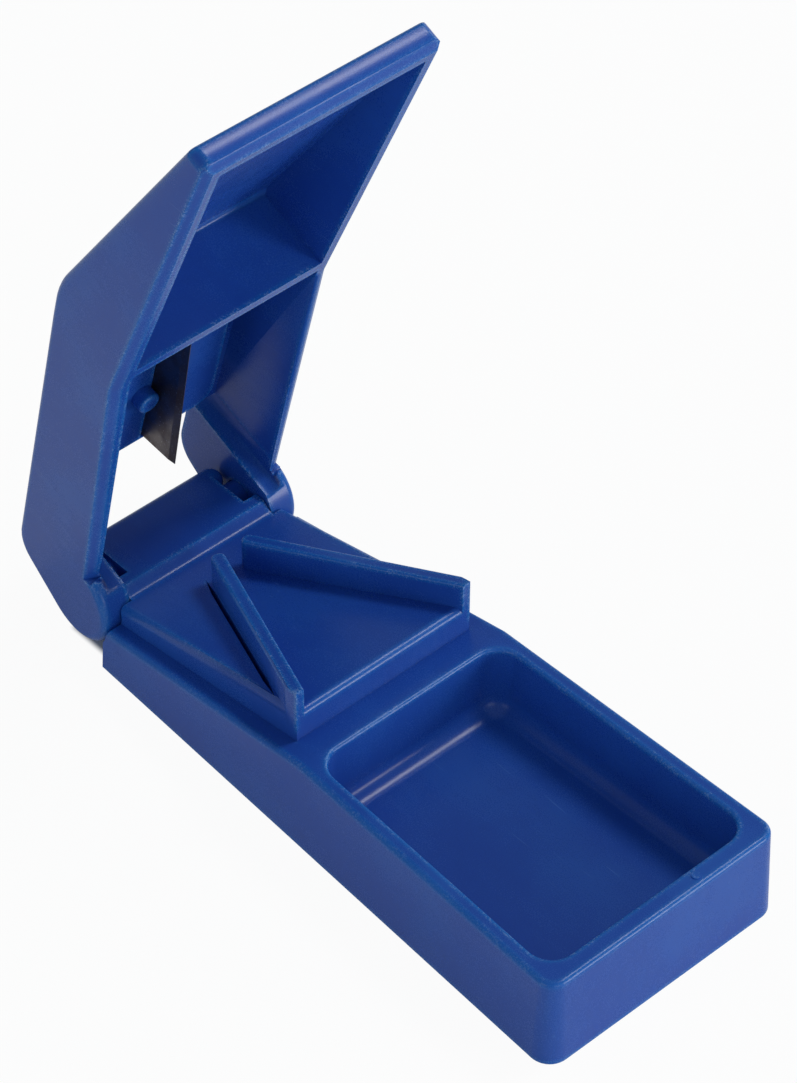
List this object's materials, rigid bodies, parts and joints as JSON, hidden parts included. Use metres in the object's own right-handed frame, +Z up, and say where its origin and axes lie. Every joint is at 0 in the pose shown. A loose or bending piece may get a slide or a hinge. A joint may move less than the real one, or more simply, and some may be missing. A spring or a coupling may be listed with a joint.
{
  "type": "pill cutter",
  "caption": "Pocket pill cutter: tapered box with a storage tray, sloping deck with a V tablet holder, and a hinged lid that carries a steel blade.",
  "frame": {"origin": "on the table, on the centre line, in the middle of the underside's cross wall below the tray's rear wall", "axes": "+X to the right seen from the tray, +Y from the tray to the hinge, +Z up"},
  "size_m": [0.0338, 0.091, 0.0875],
  "materials": {
    "base_plastic": "royal blue moulded plastic, satin gloss",
    "lid_plastic": "royal blue moulded plastic, satin gloss",
    "blade_steel": "thin ground steel with fine wear",
    "clamp_plastic": "royal blue moulded plastic, satin gloss"
  },
  "bodies": {
    "base": {"base": "base_plastic"},
    "lid": {"lid": "lid_plastic", "blade": "blade_steel", "blade_clamp": "clamp_plastic"}
  },
  "joints": [
    {"name": "lid_hinge", "type": "hinge", "parent": "base", "child": "lid", "pos_m": [0, 0.0397, 0.007], "axis": [1, 0, 0], "range_deg": [-23.3, 66.7]}
  ]
}
